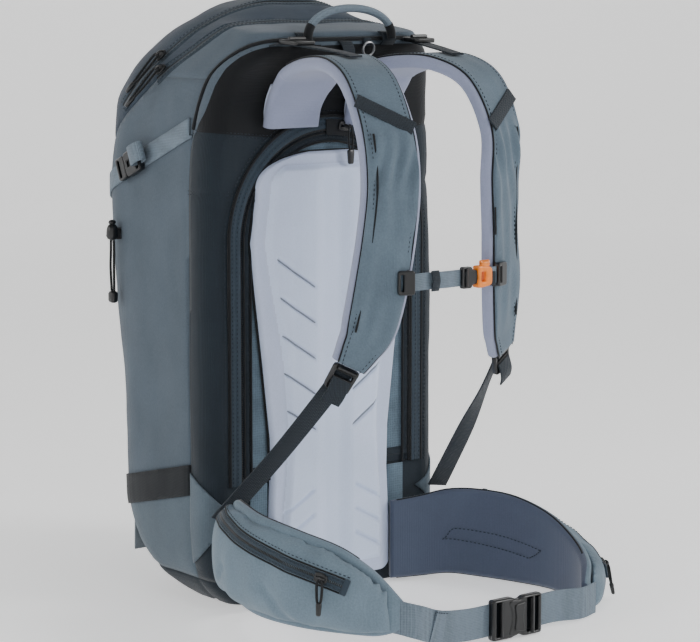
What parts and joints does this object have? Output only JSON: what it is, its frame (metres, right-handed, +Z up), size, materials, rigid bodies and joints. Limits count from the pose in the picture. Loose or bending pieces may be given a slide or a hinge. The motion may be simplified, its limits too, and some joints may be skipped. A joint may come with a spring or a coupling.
{
  "type": "ski backpack",
  "caption": "Touring ski backpack with zipped back door, hinged top lid, padded shoulder straps, hip belt with zip pockets and side compression straps.",
  "frame": {"origin": "middle of the bottom edge of the flat back, on the plane the bag stands on", "axes": "+Z up, -Y towards the wearer, +X towards the wearer's left"},
  "size_m": [0.4107, 0.4628, 0.579],
  "materials": {
    "shell_fabric": "matte woven",
    "dark_fabric": "matte ripstop",
    "mesh_fabric": "open mesh",
    "lining": "light coated lining",
    "pad_foam": "brushed jersey over foam",
    "strap_foam": "spacer mesh over foam",
    "strap_cover": "fine woven",
    "webbing": "ribbed webbing",
    "dark_webbing": "ribbed webbing",
    "zip_coil": "nylon coil",
    "black_plastic": "satin moulded",
    "orange_plastic": "satin moulded",
    "aluminium": "satin",
    "cord": "braided"
  },
  "bodies": {
    "pack": {"back_surround": "dark_fabric", "side_panel_left": "shell_fabric", "side_panel_right": "shell_fabric", "front_panel": "shell_fabric", "base_panel": "dark_fabric", "top_hood": "shell_fabric", "divider_wall": "lining", "tool_sleeves": "lining", "hydration_sleeve": "lining", "shell_zip_tapes": "zip_coil", "ski_bands": "dark_fabric", "compression_straps": "dark_fabric", "compression_buckles": "black_plastic", "lumbar_pad": "pad_foam", "hip_wing_bases": "strap_foam", "yoke_pads": "pad_foam", "hood_loops": "webbing", "anchor_wings": "dark_fabric", "cord_lock": "black_plastic", "axe_cord": "cord", "cord_toggle": "black_plastic"},
    "door": {"door_panel": "mesh_fabric", "door_zip_tape": "zip_coil", "back_pad": "pad_foam", "frame_stays": "aluminium"},
    "door_slider": {"door_zip_slider": "black_plastic"},
    "door_pull": {"door_zip_pull": "black_plastic"},
    "lid": {"lid_cap": "shell_fabric", "lid_zip_tapes": "zip_coil"},
    "main_slider": {"main_zip_slider": "black_plastic"},
    "front_slider": {"front_zip_slider": "black_plastic"},
    "strap_left": {"strap_pad_left": "strap_foam", "strap_cover_left": "strap_cover", "strap_webbing_left": "dark_webbing", "load_lifter_left": "dark_webbing"},
    "strap_right": {"strap_pad_right": "strap_foam", "strap_cover_right": "strap_cover", "strap_webbing_right": "dark_webbing", "load_lifter_right": "dark_webbing"},
    "lock_left": {"ladder_lock_left": "black_plastic"},
    "lock_right": {"ladder_lock_right": "black_plastic"},
    "sternum_right": {"sternum_clip_right": "black_plastic", "sternum_webbing": "webbing"},
    "sternum_left": {"sternum_clip_left": "black_plastic", "sternum_buckle_female": "orange_plastic"},
    "sternum_male": {"sternum_buckle_male": "black_plastic"},
    "fin_left": {"hip_fin_left": "strap_foam", "hip_pocket_left": "strap_cover", "hip_webbing_left": "webbing"},
    "fin_right": {"hip_fin_right": "strap_foam", "hip_pocket_right": "strap_cover", "hip_webbing_right": "webbing", "hip_buckle_female": "black_plastic"},
    "hip_male": {"hip_buckle_male": "black_plastic"},
    "hip_slider_left": {"hip_zip_slider_left": "black_plastic"},
    "hip_slider_right": {"hip_zip_slider_right": "black_plastic"},
    "compression_left": {"compression_clip_left": "black_plastic"},
    "compression_right": {"compression_clip_right": "black_plastic"},
    "haul": {"haul_loop": "webbing"},
    "lock_button": {"cord_lock_button": "black_plastic"}
  },
  "joints": [
    {"name": "door_open", "type": "hinge", "parent": "pack", "child": "door", "pos_m": [0, -0.014, 0.118], "axis": [1, 0, 0], "range_deg": [0, 55]},
    {"name": "door_zip_run", "type": "hinge", "parent": "door", "child": "door_slider", "pos_m": [0, 0, 0.35], "axis": [0, 1, 0], "range_deg": [0, 70]},
    {"name": "door_pull_hang", "type": "hinge", "parent": "door_slider", "child": "door_pull", "pos_m": [0.0169, 0, 0.45667], "axis": [0, 1, 0], "range_deg": [-71, 1]},
    {"name": "lid_open", "type": "hinge", "parent": "pack", "child": "lid", "pos_m": [0, 0.212, 0.418], "axis": [-1, 0, 0], "range_deg": [0, 60]},
    {"name": "main_zip_run", "type": "slide", "parent": "pack", "child": "main_slider", "axis": [0.3788, -0.7375, 0.5592], "range_m": [0, 0.03]},
    {"name": "front_zip_run", "type": "slide", "parent": "lid", "child": "front_slider", "axis": [0.4446, -0.6095, 0.6564], "range_m": [0, 0.02]},
    {"name": "strap_swing_left", "type": "hinge", "parent": "pack", "child": "strap_left", "pos_m": [0.134, -0.008, 0.09], "axis": [-0.1139, -0.0593, 0.9917], "range_deg": [-1, 84]},
    {"name": "strap_swing_right", "type": "hinge", "parent": "pack", "child": "strap_right", "pos_m": [-0.134, -0.008, 0.09], "axis": [-0.1139, 0.0593, -0.9917], "range_deg": [-1, 84]},
    {"name": "ladder_tilt_left", "type": "hinge", "parent": "strap_left", "child": "lock_left", "pos_m": [0.0917, -0.1503, 0.25026], "axis": [-0.8632, -0.2434, -0.4423], "range_deg": [0, 25]},
    {"name": "ladder_tilt_right", "type": "hinge", "parent": "strap_right", "child": "lock_right", "pos_m": [-0.0917, -0.1503, 0.25026], "axis": [-0.8632, 0.2434, 0.4423], "range_deg": [0, 25]},
    {"name": "sternum_height_right", "type": "slide", "parent": "strap_right", "child": "sternum_right", "axis": [0, 0, 1], "range_m": [-0.008, 0.008]},
    {"name": "sternum_height_left", "type": "slide", "parent": "strap_left", "child": "sternum_left", "axis": [0, 0, 1], "range_m": [-0.009, 0.009]},
    {"name": "sternum_release", "type": "slide", "parent": "sternum_right", "child": "sternum_male", "axis": [-1, 0, 0], "range_m": [0, 0.01]},
    {"name": "fin_swing_left", "type": "hinge", "parent": "pack", "child": "fin_left", "pos_m": [0.122, -0.03, 0.05], "axis": [0, 0, 1], "range_deg": [0, 30]},
    {"name": "fin_swing_right", "type": "hinge", "parent": "pack", "child": "fin_right", "pos_m": [-0.122, -0.03, 0.05], "axis": [0, 0, -1], "range_deg": [0, 30]},
    {"name": "hip_release", "type": "slide", "parent": "fin_left", "child": "hip_male", "axis": [1, 0, 0], "range_m": [0, 0.02]},
    {"name": "hip_zip_run_left", "type": "slide", "parent": "fin_left", "child": "hip_slider_left", "axis": [0.2095, -0.9778, 0], "range_m": [0, 0.02]},
    {"name": "hip_zip_run_right", "type": "slide", "parent": "fin_right", "child": "hip_slider_right", "axis": [-0.1871, -0.9823, 0], "range_m": [0, 0.02]},
    {"name": "compression_release_left", "type": "slide", "parent": "pack", "child": "compression_left", "axis": [0, 0.9187, -0.395], "range_m": [0, 0.012]},
    {"name": "compression_release_right", "type": "slide", "parent": "pack", "child": "compression_right", "axis": [0, 0.9187, -0.395], "range_m": [0, 0.012]},
    {"name": "haul_loop_flop", "type": "hinge", "parent": "pack", "child": "haul", "pos_m": [0, -0.0365, 0.541], "axis": [1, 0, 0], "range_deg": [0, 50]},
    {"name": "cord_lock_press", "type": "slide", "parent": "pack", "child": "lock_button", "axis": [0, 0, -1], "range_m": [0, 0.003], "stiffness_N_per_m": 200}
  ],
  "couplings": [
    {"joint": "strap_swing_left", "follows": "door_open", "ratio": 1.5},
    {"joint": "strap_swing_right", "follows": "door_open", "ratio": 1.5},
    {"joint": "door_pull_hang", "follows": "door_zip_run", "ratio": -1},
    {"joint": "sternum_height_left", "follows": "sternum_height_right", "ratio": 1}
  ]
}
